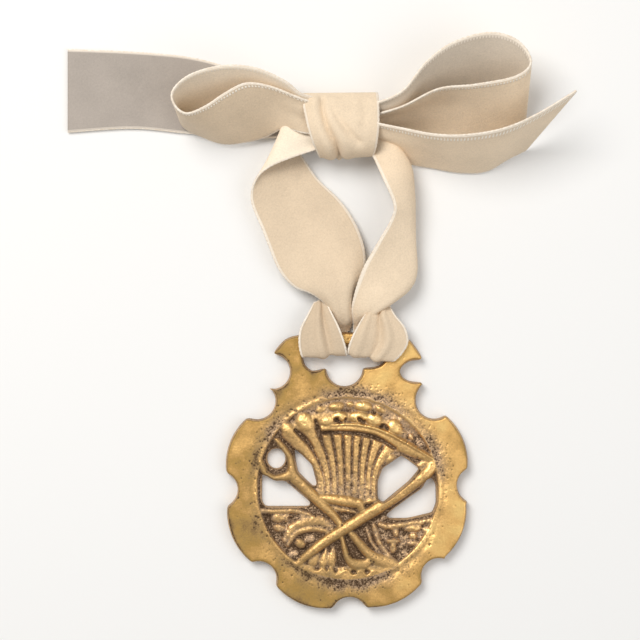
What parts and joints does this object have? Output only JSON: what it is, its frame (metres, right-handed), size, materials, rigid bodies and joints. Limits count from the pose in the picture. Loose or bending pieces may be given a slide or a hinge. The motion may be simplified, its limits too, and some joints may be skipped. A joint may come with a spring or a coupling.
{
  "type": "horse brass",
  "caption": "Pierced round horse brass with a scalloped rim and harvest relief, hung on a velvet ribbon tied in a bow.",
  "frame": {"origin": "middle of the medallion on the casting's flat back, which lies on the surface below", "axes": "+Z out of the front face, +Y from the medallion to the hanger and the bow, +X to the right seen from the front"},
  "size_m": [0.154, 0.1746, 0.0219],
  "materials": {
    "brass": "worn, satin on the rim, with brown patina in the recesses",
    "ribbon_velvet": "cream velvet face with a grey satin back and woven selvedges"
  },
  "bodies": {
    "root": {"brass_casting": "brass", "ribbon": "ribbon_velvet"}
  },
  "joints": []
}
